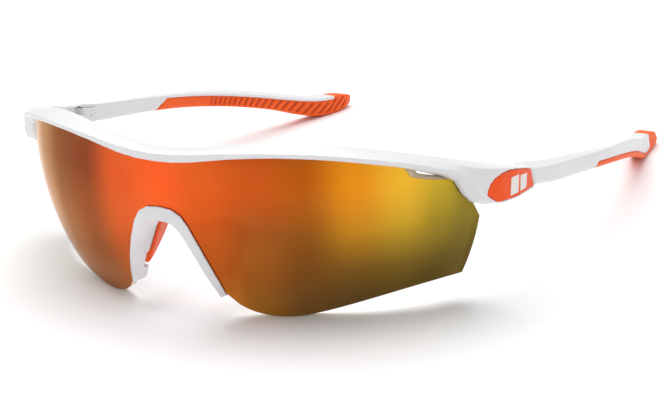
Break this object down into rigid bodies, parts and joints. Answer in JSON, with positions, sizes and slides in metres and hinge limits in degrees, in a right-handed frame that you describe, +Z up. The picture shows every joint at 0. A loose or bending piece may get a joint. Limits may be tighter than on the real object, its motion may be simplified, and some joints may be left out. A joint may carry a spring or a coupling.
{
  "type": "wraparound sport sunglasses",
  "caption": "Semi-rimless wraparound sport sunglasses: white brow frame, one-piece orange mirrored shield lens, nose bridge with soft pads, and folding temples with ribbed rubber grips.",
  "frame": {"origin": "centre of the open glasses' footprint, on the surface they rest on", "axes": "+X to the wearer's left, +Y back along the temples, +Z up"},
  "size_m": [0.1356, 0.176, 0.0438],
  "materials": {
    "frame_white": "white nylon, polished",
    "lens_mirror": "orange multilayer mirror coat on tinted polycarbonate",
    "pad_rubber": "matte soft rubber",
    "grip_rubber": "satin ribbed rubber",
    "badge_orange": "satin orange inlay",
    "mark_white": "satin white inlay",
    "hinge_steel": "brushed stainless",
    "rivet_steel": "polished stainless",
    "screw_steel": "turned stainless"
  },
  "bodies": {
    "front": {"brow_frame": "frame_white", "shield_lens": "lens_mirror", "nose_bridge": "frame_white", "nose_pad_left": "pad_rubber", "nose_pad_right": "pad_rubber", "badge_left": "badge_orange", "badge_right": "badge_orange", "badge_mark_left": "mark_white", "badge_mark_right": "mark_white", "front_hinge_left": "hinge_steel", "front_hinge_right": "hinge_steel", "front_hinge_rivets_left": "rivet_steel", "front_hinge_rivets_right": "rivet_steel", "hinge_screw_left": "screw_steel", "hinge_screw_right": "screw_steel"},
    "temple_left_arm": {"temple_left": "frame_white", "temple_grip_left": "grip_rubber", "temple_hinge_left": "hinge_steel", "temple_hinge_rivets_left": "rivet_steel"},
    "temple_right_arm": {"temple_right": "frame_white", "temple_grip_right": "grip_rubber", "temple_hinge_right": "hinge_steel", "temple_hinge_rivets_right": "rivet_steel"}
  },
  "joints": [
    {"name": "temple_left_fold", "type": "hinge", "parent": "front", "child": "temple_left_arm", "pos_m": [0.06221, -0.02854, 0.02641], "axis": [0, 0.2079, 0.9781], "range_deg": [0, 90]},
    {"name": "temple_right_fold", "type": "hinge", "parent": "front", "child": "temple_right_arm", "pos_m": [-0.06221, -0.02854, 0.02641], "axis": [0, -0.2079, -0.9781], "range_deg": [0, 78]}
  ]
}
